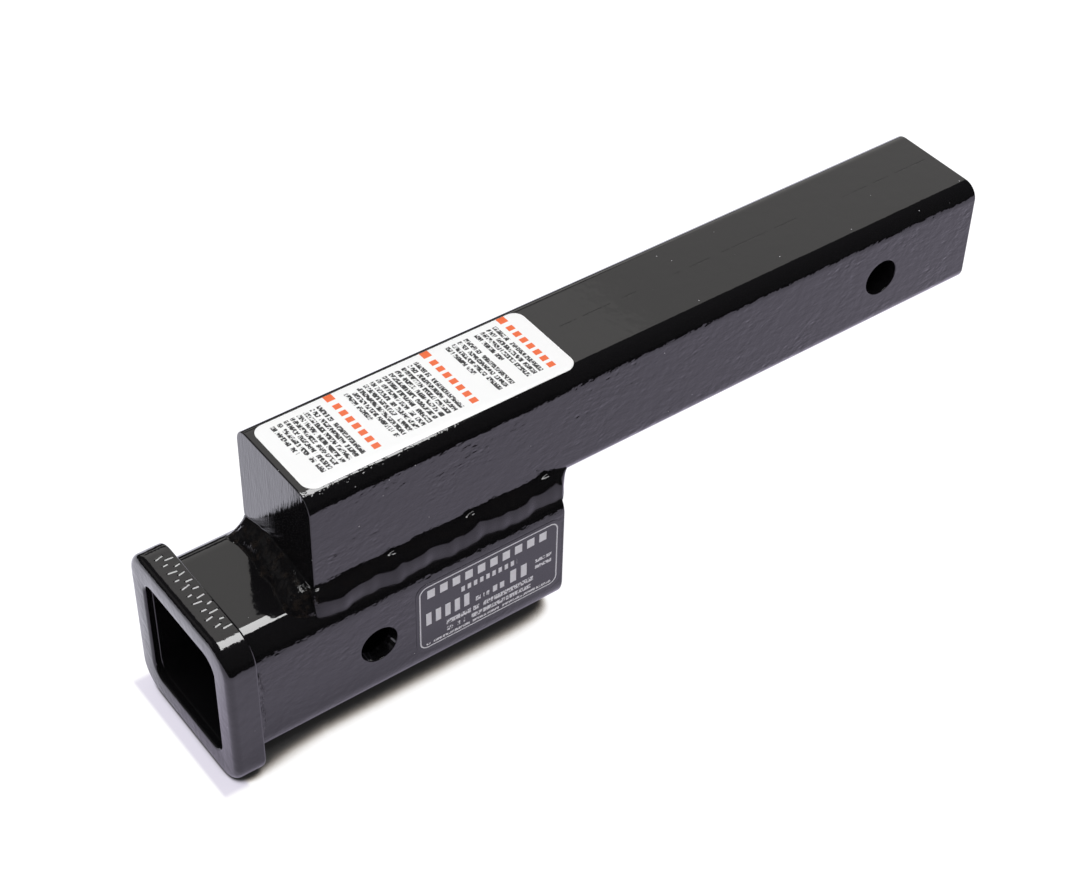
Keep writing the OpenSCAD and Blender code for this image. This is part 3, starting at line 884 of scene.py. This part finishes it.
class Graph:
    """A new material or world and its node tree, with the points of the surface as wires in mm."""

    def __init__(self, data):
        data.use_nodes = True
        self.data, self.tree = data, data.node_tree
        self.tree.nodes.clear()

    def add(self, kind, inputs=None, output=0, **settings):
        """A node of that kind: its settings first, then the values or wires of its sockets."""
        node = self.tree.nodes.new(kind)
        for key, value in settings.items():
            setattr(node, key, value)
        for key, value in (inputs or {}).items():
            if isinstance(value, Wire):
                self.tree.links.new(value.socket, node.inputs[key])
            else:
                node.inputs[key].default_value = value
        return Wire(self, node.outputs[output]) if node.outputs else None

    def place(self):
        """The point in the part's frame, as a vector and as its X, Y and Z in millimetres."""
        coords = self.add("ShaderNodeTexCoord", output="Object")
        mm = self.add("ShaderNodeVectorMath", {0: coords, "Scale": 1 / MM}, operation="SCALE")
        parts = [self.add("ShaderNodeSeparateXYZ", {0: mm}, output=axis) for axis in "XYZ"]
        return mm, parts

    def facing(self, axis):
        """How far the surface faces along an axis, from -1 to 1, without its bumps."""
        normal = self.add("ShaderNodeNewGeometry", output="True Normal")
        return self.add("ShaderNodeSeparateXYZ", {0: normal}, output=axis)

    def stretched(self, point, x, y, z):
        """The point times a factor along each axis: a factor below 1 draws a pattern out."""
        return self.add("ShaderNodeVectorMath", {0: point, 1: (x, y, z)}, operation="MULTIPLY")

    def noise(self, point, size, detail=2.0, roughness=0.5):
        """Noise between about -1 and 1, with features of that size in the point's units."""
        values = {"Vector": point, "Scale": 1 / size, "Detail": detail, "Roughness": roughness}
        return (self.add("ShaderNodeTexNoise", values, output="Fac") - 0.5) * 2.0

    def cells(self, point, size, output="Distance"):
        """Distance to the nearest of a scatter of points, in cells of that size, or their colour."""
        return self.add("ShaderNodeTexVoronoi", {"Vector": point, "Scale": 1 / size}, output=output)

    def tint(self, share, a, b):
        """Colour a where the share is 0, and colour b where it is 1."""
        return self.add("ShaderNodeMix", {0: share, 6: a, 7: b}, output=2, data_type="RGBA")

    def bump(self, height_mm):
        """A normal that follows a relief of that height."""
        return self.add("ShaderNodeBump", {"Height": height_mm * MM, "Distance": 1.0, "Strength": 1.0})

    def surface(self, shader):
        """Ends the tree at its output, and gives the material."""
        self.add("ShaderNodeOutputMaterial", {"Surface": shader})
        return self.data

    def coated(self, colour, roughness, ior, height_mm):
        """A glossy coat of a colour over a relief, as the whole material."""
        values = {"Base Color": colour, "Roughness": roughness, "IOR": ior, "Normal": self.bump(height_mm)}
        return self.surface(self.add("ShaderNodeBsdfPrincipled", values))


def rgba(value):
    """A colour with full opacity."""
    return (*value, 1.0)


def specks(graph, point, size, radius, share):
    """Small round spots: one in each cell of that size, kept in about a share of the cells."""
    distance = graph.cells(point, size) * size
    choice = graph.add("ShaderNodeSeparateColor", {0: graph.cells(point, size, "Color")}, output="Red")
    return (1 - distance.over(radius * 0.6, radius)) * (1 - choice.over(share, share + 0.01))


def orange_peel(graph, point, look):
    """Height in mm of the slow waves of thick paint."""
    return graph.noise(point, 5.5, 2.0, 0.45) * look.peel_h


def sawn_steel(graph, place, look):
    """Height in mm and wear of a sawn end: the marks of the saw as fine upright lines."""
    point, _ = place
    upright = graph.stretched(point, 1.0, 1.0, 0.1)
    lines, broad = graph.noise(upright, 0.8, 1.0, 0.5), graph.noise(upright, 4.0, 1.0)
    peel = orange_peel(graph, point, look)
    height = peel * 0.3 + lines * look.saw_h + broad * (0.7 * look.saw_h)
    return height, graph.noise(point, 8.0, 2.0).over(-0.2, 0.6) * 0.5


def rolled_steel(graph, place, look):
    """Height in mm and wear of hot rolled steel: grain and shallow pits that thicken towards the
    free end and show most on the sides, ragged paint on the shank's upper near edge and a faint
    mill line along its top."""
    point, (x, y, z) = place
    rolled = graph.stretched(point, 0.6, 1.0, 1.0)
    side_share = abs(graph.facing("Y")).over(0.9, 0.97) * 0.93 + 0.07
    tube_share = side_share.high((1 - z.over(-26.0, -25.9)) * 0.3)
    farther = (x.over(-280.0, 30.0) * 0.25 + 0.8) * side_share
    patch = graph.noise(point, 16.0, 2.0).over(-0.3, 0.4)
    grain = graph.noise(rolled, 2.4, 2.0, 0.5) * (patch * 0.6 + 0.4) * farther
    grain = grain + graph.noise(rolled, 0.9, 1.0) * tube_share * 0.12
    pits = (1 - graph.cells(rolled, 3.1).over(0.05, 0.36)) * patch * farther
    edge = y.between(-22.8, -18.2, 0.5) * z.over(23.0, 24.0) * (1 - x.over(-252.0, -205.0))
    chips = graph.noise(graph.stretched(point, 1.0, 0.6, 1.0), 1.7, 1.0).over(0.0, 0.25) * edge
    mill = (1 - abs(y - 2.0).over(0.1, 0.3)) * z.over(25.0, 25.3)
    mill = mill * graph.noise(point, 9.0, 3.0).over(-0.1, 0.4)
    peel = orange_peel(graph, point, look) * (side_share * 0.7 + 0.3)
    height = peel + grain * look.grain_h - pits * look.pit_h + chips * look.chip_h - mill * look.mill_h
    return height, patch


def black_paint(name, steel, look):
    """Gloss black paint with specks of dust, over steel that gives its height and its wear."""
    graph = Graph(bpy.data.materials.new(name))
    place = graph.place()
    height, worn = steel(graph, place, look)
    dust = specks(graph, place[0], 8.0, 0.3, 1.0)
    colour = graph.tint(dust, rgba(look.black), rgba(look.dust))
    roughness = worn * (0.5 * look.gloss) + 0.8 * look.gloss + dust * 0.4
    return graph.coated(colour, roughness, 1.5, height)


def cast_paint(name, look):
    """Gloss black paint on a cast ring: soft lumps of the casting, rougher low down where the
    casting was dressed."""
    graph = Graph(bpy.data.materials.new(name))
    point, (_, _, z) = graph.place()
    low = 1 - z.over(-92.0, -80.0)
    lumps = graph.noise(point, 6.0, 2.0) * 0.11 + graph.noise(point, 2.2, 2.0) * 0.035
    coarse = graph.noise(point, 2.4, 3.0, 0.6) * 0.16
    dust = specks(graph, point, 7.0, 0.25, 1.0)
    colour = graph.tint(dust, rgba(look.black), rgba(look.dust))
    roughness = graph.noise(point, 6.0).over(-1.0, 1.0) * (0.6 * look.gloss) + 1.1 * look.gloss
    return graph.coated(colour, roughness, 1.5, lumps + coarse * low)


def weld_paint(name, look):
    """Gloss black paint on weld metal: fine scale under the paint. The front bead is coarser, with
    spatter, and has painted sheen: brownish blotches in its colour stand in for soft reflections there, where
    it is also rougher."""
    graph = Graph(bpy.data.materials.new(name))
    point, (x, _, _) = graph.place()
    scale = graph.noise(point, 2.4, 3.0, 0.55)
    # Patches of painted sheen: where the front bead takes brownish blotches that stand in for soft
    # reflections, and where it is rougher.
    thin = graph.noise(point, 3.4, 3.0, 0.6).over(-0.1, 0.5)
    spatter = specks(graph, point, 3.0, 0.5, 0.5)
    front = 1 - x.over(SHANK_LOW[0] - 1.0, SHANK_LOW[0])
    # Painted sheen: brownish blotches, mostly on the front bead, that stand in for soft reflections.
    colour = graph.tint(thin * (0.1 + front * 0.45), rgba(look.black), rgba(look.sheen_brown))
    roughness = thin * front * (1.6 * look.gloss) + 1.1 * look.gloss
    return graph.coated(colour, roughness, 1.38, scale * (0.014 + front * 0.16) + spatter * 0.12 * front)


def bar(u, v, low_u, high_u, low_v, high_v, soft=0.12):
    """1 inside a rectangle."""
    return u.between(low_u, high_u, soft) * v.between(low_v, high_v, soft)


def comb(u, first, pitch, gap, soft=0.12):
    """Cuts a bar into blocks: 0 in a gap at the end of each pitch, and 1 elsewhere."""
    steps = (u - first) / pitch
    part = steps - steps.floor()
    return part.over(0.0, soft / pitch) * (1 - part.over(1 - (gap + soft) / pitch, 1 - gap / pitch))


def scribble(graph, along, across, row):
    """Fine uneven fragments that look like small print from afar and spell nothing: noise along
    a row, broken into words by a longer noise."""
    place = graph.add("ShaderNodeCombineXYZ", {"X": row * 7.31, "Y": along * 0.42, "Z": 3.7})
    fine = graph.add("ShaderNodeCombineXYZ", {"X": row * 5.17, "Y": along * 1.25, "Z": across * 0.85})
    words = graph.noise(place, 1.0, 1.0).over(-0.27, -0.22)
    return words * (graph.noise(fine, 1.0, 1.0).over(-0.2, 0.0) * 0.9 + 0.1)


def text_rows(graph, u, v, first, count, pitch, height, start, end, last_end):
    """Rows of scribble for lines of small print. Rows step along -X from first and each runs
    along -Y from start to end. The last row is shorter."""
    steps = (first + pitch / 2 - u) / pitch
    row = steps.floor()
    inside = steps.between(0.0, count, 0.001)
    middle = abs(steps - row - 0.5)
    stroke = 1 - middle.over(height / pitch / 2 - 0.04, height / pitch / 2 + 0.04)
    stop = (row - (count - 1.5)).over(0.0, 0.01) * (last_end - end) + end
    marks = inside * stroke * scribble(graph, v, u, row)
    return marks * (1 - v.over(start - 0.1, start + 0.1)) * (v - stop).over(-0.1, 0.1)


def white_vinyl(look):
    """Printed white vinyl: three headings of plain orange blocks, with rows of broken dark
    strokes under each."""
    graph = Graph(bpy.data.materials.new("white_printed_vinyl"))
    point, (x, y, _) = graph.place()
    near = TOP_LABEL_LOW[0]
    heading_places = (33.5, 77.3, 113.4)
    # First row from the label's near end, number of rows, right edge, and end of the last row
    row_groups = (
        (27.7, 8, 16.4, -1.5), (71.5, 12, 16.4, -1.5), (95.0, 4, 16.8, -2.2), (108.4, 4, 16.4, -1.5)
    )
    orange = sum(
        bar(x, y, near + at - 1.5, near + at + 1.5, -15.6, 14.4) * comb(y, -15.6, 4.4, 1.5)
        + bar(x, y, near + at - 1.8, near + at + 1.8, 16.2, 19.8)
        for at in heading_places
    )
    dark = sum(
        text_rows(graph, x, y, near + first, count, 2.87, 2.0, start, -15.0, last_end)
        for first, count, start, last_end in row_groups
    )
    cloud = graph.noise(point, 30.0, 2.0).over(-1.0, 1.0) * 0.06
    ground = graph.tint(cloud, rgba(look.white), rgba((0.8, 0.8, 0.82)))
    printed = graph.tint(dark.low(1.0), ground, rgba(look.ink))
    printed = graph.tint(orange.low(1.0), printed, rgba(look.orange))
    roughness = graph.noise(point, 9.0).over(-1.0, 1.0) * 0.08 + 0.30
    return graph.coated(printed, roughness, 1.45, graph.noise(point, 7.0, 1.0) * 0.006)


def label_border(u, v, half_u, half_v, corner, line):
    """1 on a thin line round a rectangle with rounded corners: it lies where the distance from
    the rectangle's inner core, less the corner's radius, is below half the line's width."""
    past_u, past_v = abs(u) - (half_u - corner), abs(v) - (half_v - corner)
    out_u, out_v = past_u.high(0.0), past_v.high(0.0)
    inside = past_u.high(past_v).low(0.0)
    off = abs((out_u * out_u + out_v * out_v).root() + inside - corner)
    return 1 - off.over(line - 0.1, line + 0.1)


def dark_vinyl(look):
    """Printed dark vinyl: a thin pale border round rows of plain pale blocks and of broken pale
    strokes."""
    graph = Graph(bpy.data.materials.new("dark_printed_vinyl"))
    point, (x, _, z) = graph.place()
    middle, half = (SIDE_LABEL_LOW + SIDE_LABEL_HIGH) / 2, (SIDE_LABEL_HIGH - SIDE_LABEL_LOW) / 2
    u, v = x - middle[0], z - middle[2]
    inset, corner, line = 1.9, 3.6, 0.28
    marks = label_border(u, v, half[0] - inset, half[2] - inset, corner, line)
    # Blocks: from and to along the label, from and to up it, the blocks' pitch and their gap
    blocks = [
        (-29.6, 29.6, 10.3, 14.6, 5.96, 2.3), (-13.6, 13.2, 4.8, 7.4, 2.97, 1.2),
        (-30.3, -8.3, -4.4, 2.2, 4.5, 1.9), (1.6, 8.2, -4.4, -1.2, 3.4, 1.2),
        (10.0, 20.0, -4.4, 2.2, 5.2, 2.2),
    ]
    # Strokes: from and to along the label, and from and to up it
    strokes = [
        (-6.6, -0.2, -4.4, -2.2), (22.4, 30.3, -0.2, 1.4), (22.4, 30.3, -3.6, -2.0),
        (-21.6, 21.4, -9.3, -7.0), (-20.4, 20.2, -13.0, -10.9), (-30.2, 30.2, -15.6, -14.5),
    ]
    for low_u, high_u, low_v, high_v, pitch, gap in blocks:
        marks = marks + bar(u, v, low_u, high_u, low_v, high_v) * comb(u, low_u, pitch, gap)
    for low_u, high_u, low_v, high_v in strokes:
        marks = marks + bar(u, v, low_u, high_u, low_v, high_v) * scribble(graph, u, v, high_v)
    worn = graph.noise(point, 0.7, 2.0).over(-0.9, -0.3)
    printed = graph.tint(marks.low(1.0) * (0.75 + worn * 0.25), rgba(look.dark), rgba(look.pale))
    roughness = graph.noise(point, 6.0).over(-1.0, 1.0) * 0.05 + 0.12
    return graph.coated(printed, roughness, 1.5, graph.noise(point, 6.0, 1.0) * 0.004)


# Stage

WHITE = (1.0, 1.0, 1.0)
WARM = (1.0, 0.98, 0.955)
LAMP_Z = 0.97


def panel(name, low, high, height, radiance, tint, mirrored):
    """A level lamp of a given radiance that shines down. It fills the rectangle between two
    corners over the floor, and takes part either in the reflections or in the diffuse light."""
    lamp = bpy.data.lights.new(name, "AREA")
    lamp.shape = "RECTANGLE"
    lamp.size, lamp.size_y = high[0] - low[0], high[1] - low[1]
    lamp.energy = radiance * math.pi * lamp.size * lamp.size_y
    lamp.color = tint
    thing = bpy.data.objects.new(name, lamp)
    bpy.context.scene.collection.objects.link(thing)
    thing.location = ((low[0] + high[0]) / 2, (low[1] + high[1]) / 2, height)
    thing.visible_camera = False
    thing.visible_diffuse = not mirrored
    thing.visible_glossy = mirrored


def pale_sheet(x, y):
    """1 on the part of the floor that reflections see pale. It ends in front of the part, to its
    left, and behind it along a line that runs off to the right."""
    near_line = (y + (x.high(-100.0) + 100.0) * 0.8 + 162.0).over(-18.0, 18.0)
    far_line = 1 - (y - (x.high(50.0) - 50.0) * 1.4).over(350.0, 500.0)
    return near_line * far_line * (x + 700.0).over(-50.0, 50.0)


def floor_material(name, look, near):
    """Plain pale floor: the camera sees it white, and reflections see it pale for a short way
    round the part, brighter behind than in front. Near the part it is darker where the part
    stands close over it."""
    graph = Graph(bpy.data.materials.new(name))
    camera = graph.add("ShaderNodeLightPath", output="Is Camera Ray")
    glossy = graph.add("ShaderNodeLightPath", output="Is Glossy Ray")
    clear = graph.add("ShaderNodeLightPath", output="Is Transmission Ray")
    _, (x, y, _) = graph.place()
    open_air = clear_air = 1.0
    if near:
        reach = {"Distance": look.shadow_reach}
        open_air = graph.add("ShaderNodeAmbientOcclusion", reach, output="AO", samples=40)
        clear_air = open_air.over(0.36, 0.56)
    sheet, behind = pale_sheet(x, y), y.over(-10.0, 50.0)
    collar = COLLAR_LOW[0]
    # Painted shadow: a fixed pale strip on the floor just in front of the collar, tinted with shade_tint.
    shade = x.between(collar - 4.6, collar + 4.0, 2.2) * y.between(-34.0, 34.0, 4.0)
    seen_tint = graph.tint(clear_air, rgba(look.shadow_tint), rgba(WHITE))
    seen_tint = graph.tint(shade, seen_tint, rgba(look.shade_tint))
    mirrored_tint = graph.tint(behind, rgba(look.front_tint), rgba(look.behind_tint))
    seen = camera.high(clear) * clear_air * look.seen_glow
    mirrored = behind * (look.behind_glow - look.front_glow) + look.front_glow
    mirrored = glossy * sheet * open_air * mirrored
    dim = glossy * (1 - sheet * 0.25) + camera * 0.8
    plain = graph.add("ShaderNodeBsdfDiffuse", {"Color": rgba(look.floor)})
    black = graph.add("ShaderNodeBsdfDiffuse", {"Color": rgba((0.0, 0.0, 0.0))})
    ground = graph.add("ShaderNodeMixShader", {0: dim, 1: plain, 2: black})
    colour = graph.tint(glossy, seen_tint, mirrored_tint)
    glow = graph.add("ShaderNodeEmission", {"Color": colour, "Strength": seen + mirrored})
    return graph.surface(graph.add("ShaderNodeAddShader", {0: ground, 1: glow}))


def add_floor(look):
    """The floor, in three by three faces: the middle one lies round the part's lower end."""
    reach, z = 8.0, FLOOR_Z * MM
    columns, rows = (-reach, -0.42, -0.08, reach), (-reach, -0.12, 0.12, reach)
    corners = [(x, y, z) for y in rows for x in columns]
    faces = [(4 * j + i, 4 * j + i + 1, 4 * j + i + 5, 4 * j + i + 4) for j in range(3) for i in range(3)]
    mesh = bpy.data.meshes.new("floor")
    mesh.from_pydata(corners, [], faces)
    mesh.materials.append(floor_material("pale_floor", look, False))
    mesh.materials.append(floor_material("pale_floor_near", look, True))
    mesh.polygons[4].material_index = 1
    floor = bpy.data.objects.new("floor", mesh)
    bpy.context.scene.collection.objects.link(floor)


def add_world(look):
    """An even white surround for the camera, dimmer in the diffuse light and in reflections."""
    world = bpy.data.worlds.new("studio")
    bpy.context.scene.world = world
    graph = Graph(world)
    seen = graph.add("ShaderNodeLightPath", output="Is Camera Ray")
    mirrored = graph.add("ShaderNodeLightPath", output="Is Glossy Ray")
    strength = seen * (1.0 - look.sky) + (1 - seen) * mirrored * (look.room - look.sky) + look.sky
    light = graph.add("ShaderNodeBackground", {"Color": rgba(WHITE), "Strength": strength})
    graph.add("ShaderNodeOutputWorld", {"Surface": light})


def add_lamps(look):
    """One soft lamp overhead for diffuse light. The others show only in reflections: a bright key
    over the part, and dim warm panels behind it that the flat faces mirror."""
    panel("overhead", (-1.2, -0.9), (0.9, 1.5), 1.6, look.overhead, WHITE, False)
    panel("key", (-0.32, -0.17), (0.21, 0.38), LAMP_Z, look.key, WHITE, True)
    for name, low, high, share in (
        ("back_near", (-0.25, 0.38), (0.21, 0.73), 1.07),
        ("back", (-0.25, 0.73), (0.62, 1.45), 1.07),
        ("back_far", (-0.25, 1.45), (0.50, 9.0), 1.07),
        ("back_right", (0.62, 0.73), (4.0, 1.45), 0.9),
        ("back_far_right", (1.10, 1.45), (7.0, 9.0), 0.9),
        ("back_left", (-3.2, 0.85), (-1.1, 2.4), 0.16),
    ):
        panel(name, low, high, LAMP_Z, share * look.back, WARM, True)


def add_camera(look):
    """The camera, at the photograph's angle."""
    camera = bpy.data.cameras.new("camera")
    camera.sensor_fit = "HORIZONTAL"
    camera.sensor_width = 36.0
    camera.lens = look.focal_px * camera.sensor_width / PICTURE_WIDTH
    camera.clip_start, camera.clip_end = 0.05, 50.0
    eye = bpy.data.objects.new("camera", camera)
    bpy.context.scene.collection.objects.link(eye)
    a, e = look.azimuth, look.elevation
    back = Vector((math.sin(a) * math.cos(e), -math.cos(a) * math.cos(e), math.sin(e)))
    turn = back.to_track_quat("Z", "Y").to_matrix() @ Matrix.Rotation(look.roll, 3, "Z")
    eye.matrix_world = Matrix.Translation(Vector(look.target) + back * look.distance) @ turn.to_4x4()
    bpy.context.scene.camera = eye


# Operators


def paints(look):
    """The painted finishes, made once."""
    makers = {
        "gloss_black_paint": lambda name: black_paint(name, rolled_steel, look),
        "sawn_black_paint": lambda name: black_paint(name, sawn_steel, look),
        "cast_black_paint": lambda name: cast_paint(name, look),
        "weld_black_paint": lambda name: weld_paint(name, look),
    }
    return {name: bpy.data.materials.get(name) or make(name) for name, make in makers.items()}


class EXTENDER_OT_shank(bpy.types.Operator):
    """Makes the painted square bar with its pin hole and sawn ends"""

    bl_idname = "extender.shank"
    bl_label = "Shank"

    def execute(self, context):
        settings = context.scene.extender
        finish = paints(settings.paint)

        def ends(centres):
            return (centres[:, 0] < SHANK_LOW[0] + 0.2) | (centres[:, 0] > SHANK_HIGH[0] - 0.2)

        shank_skin(settings.steel).build(
            "shank_bar", "shank", "black_paint",
            finish["gloss_black_paint"], finish["sawn_black_paint"], second=ends,
        )
        return {"FINISHED"}


class EXTENDER_OT_tube(bpy.types.Operator):
    """Makes the painted square tube with its bore and pin hole"""

    bl_idname = "extender.tube"
    bl_label = "Receiver tube"

    def execute(self, context):
        settings = context.scene.extender
        tube_skin(settings.steel).build(
            "tube_body", "receiver_tube", "black_paint", paints(settings.paint)["gloss_black_paint"]
        )
        return {"FINISHED"}


class EXTENDER_OT_collar(bpy.types.Operator):
    """Makes the painted collar with its lip and raised ribs"""

    bl_idname = "extender.collar"
    bl_label = "Collar"

    def execute(self, context):
        settings = context.scene.extender
        collar_skin(settings.collar, settings.steel).build(
            "collar_ring", "receiver_collar", "cast_paint", paints(settings.paint)["cast_black_paint"]
        )
        return {"FINISHED"}


class EXTENDER_OT_beads(bpy.types.Operator):
    """Makes the weld beads"""

    bl_idname = "extender.beads"
    bl_label = "Weld beads"

    def execute(self, context):
        settings = context.scene.extender
        sizes, steel = settings.bead, settings.steel
        finish = paints(settings.paint)["weld_black_paint"]
        beads = (
            ("near_side_bead", "near_side_weld", side_bead(sizes, steel, 1.0, -1)),
            ("far_side_bead", "far_side_weld", side_bead(sizes, steel, 2.6, 1)),
            ("front_bead", "front_weld", front_bead(sizes, steel)),
            ("rear_bead", "rear_weld", rear_bead(sizes, steel)),
            ("collar_near_bead", "collar_weld_near", collar_bead(sizes, -1, 7.9)),
            ("collar_far_bead", "collar_weld_far", collar_bead(sizes, 1, 9.4)),
        )
        for name, node, grid in beads:
            skin = Skin()
            skin.grid(grid, wrap_columns=True)
            skin.build(name, node, "weld_paint", finish)
        return {"FINISHED"}


class EXTENDER_OT_labels(bpy.types.Operator):
    """Makes the white label on top of the shank and the dark one on the tube's side"""

    bl_idname = "extender.labels"
    bl_label = "Labels"

    def execute(self, context):
        settings = context.scene.extender
        look, steel = settings.label, settings.steel
        core = SHANK_HALF - steel.shank_edge_r

        def on_top(x, y, h):
            """Bends past the flat of the shank, round its long edges."""
            past = np.clip(np.abs(y) - core, 0, None)
            r = steel.shank_edge_r
            z = SHANK_HIGH[2] + h - (r + h - np.sqrt((r + h) ** 2 - past**2))
            return np.stack([x, y, z], -1)

        def on_side(x, z, h):
            """Lies flat on the tube's near side."""
            return np.stack([x, -TUBE_HALF - h, z], -1)

        thick = 0.12
        low, high = TOP_LABEL_LOW[:2] + 0.02, TOP_LABEL_HIGH[:2] - np.array([0.02, 1.0])
        sheet_skin(low, high, look.corner_r, thick, on_top).build(
            "top_label_sheet", "top_label", "white_vinyl", white_vinyl(look)
        )
        low, high = SIDE_LABEL_LOW[[0, 2]], SIDE_LABEL_HIGH[[0, 2]]
        sheet_skin(low, high, look.corner_r, thick, on_side).build(
            "side_label_sheet", "side_label", "dark_vinyl", dark_vinyl(look)
        )
        return {"FINISHED"}


class EXTENDER_OT_stage(bpy.types.Operator):
    """Makes the floor, the world, the lamps and the camera"""

    bl_idname = "extender.stage"
    bl_label = "Stage"

    def execute(self, context):
        look = context.scene.extender.stage
        add_floor(look)
        add_world(look)
        add_lamps(look)
        add_camera(look)
        context.scene.view_settings.view_transform = "Standard"
        return {"FINISHED"}


OPERATORS = (
    EXTENDER_OT_stage,
    EXTENDER_OT_shank,
    EXTENDER_OT_tube,
    EXTENDER_OT_collar,
    EXTENDER_OT_beads,
    EXTENDER_OT_labels,
)


class EXTENDER_PT_panel(bpy.types.Panel):
    bl_label = "Hitch Receiver Extender"
    bl_idname = "EXTENDER_PT_panel"
    bl_space_type = "VIEW_3D"
    bl_region_type = "UI"
    bl_category = "Extender"

    def draw(self, context):
        for operator in OPERATORS:
            self.layout.operator(operator.bl_idname)


CLASSES = (
    SteelSizes, CollarSizes, BeadSizes, LabelSizes, PaintLook, StageLook, ExtenderSettings,
    *OPERATORS, EXTENDER_PT_panel,
)


def register():
    for cls in CLASSES:
        bpy.utils.register_class(cls)
    bpy.types.Scene.extender = PointerProperty(type=ExtenderSettings)


def unregister():
    del bpy.types.Scene.extender
    for cls in reversed(CLASSES):
        bpy.utils.unregister_class(cls)


def main():
    register()
    for operator in OPERATORS:
        group, name = operator.bl_idname.split(".")
        getattr(getattr(bpy.ops, group), name)()


if __name__ == "__main__":
    main()
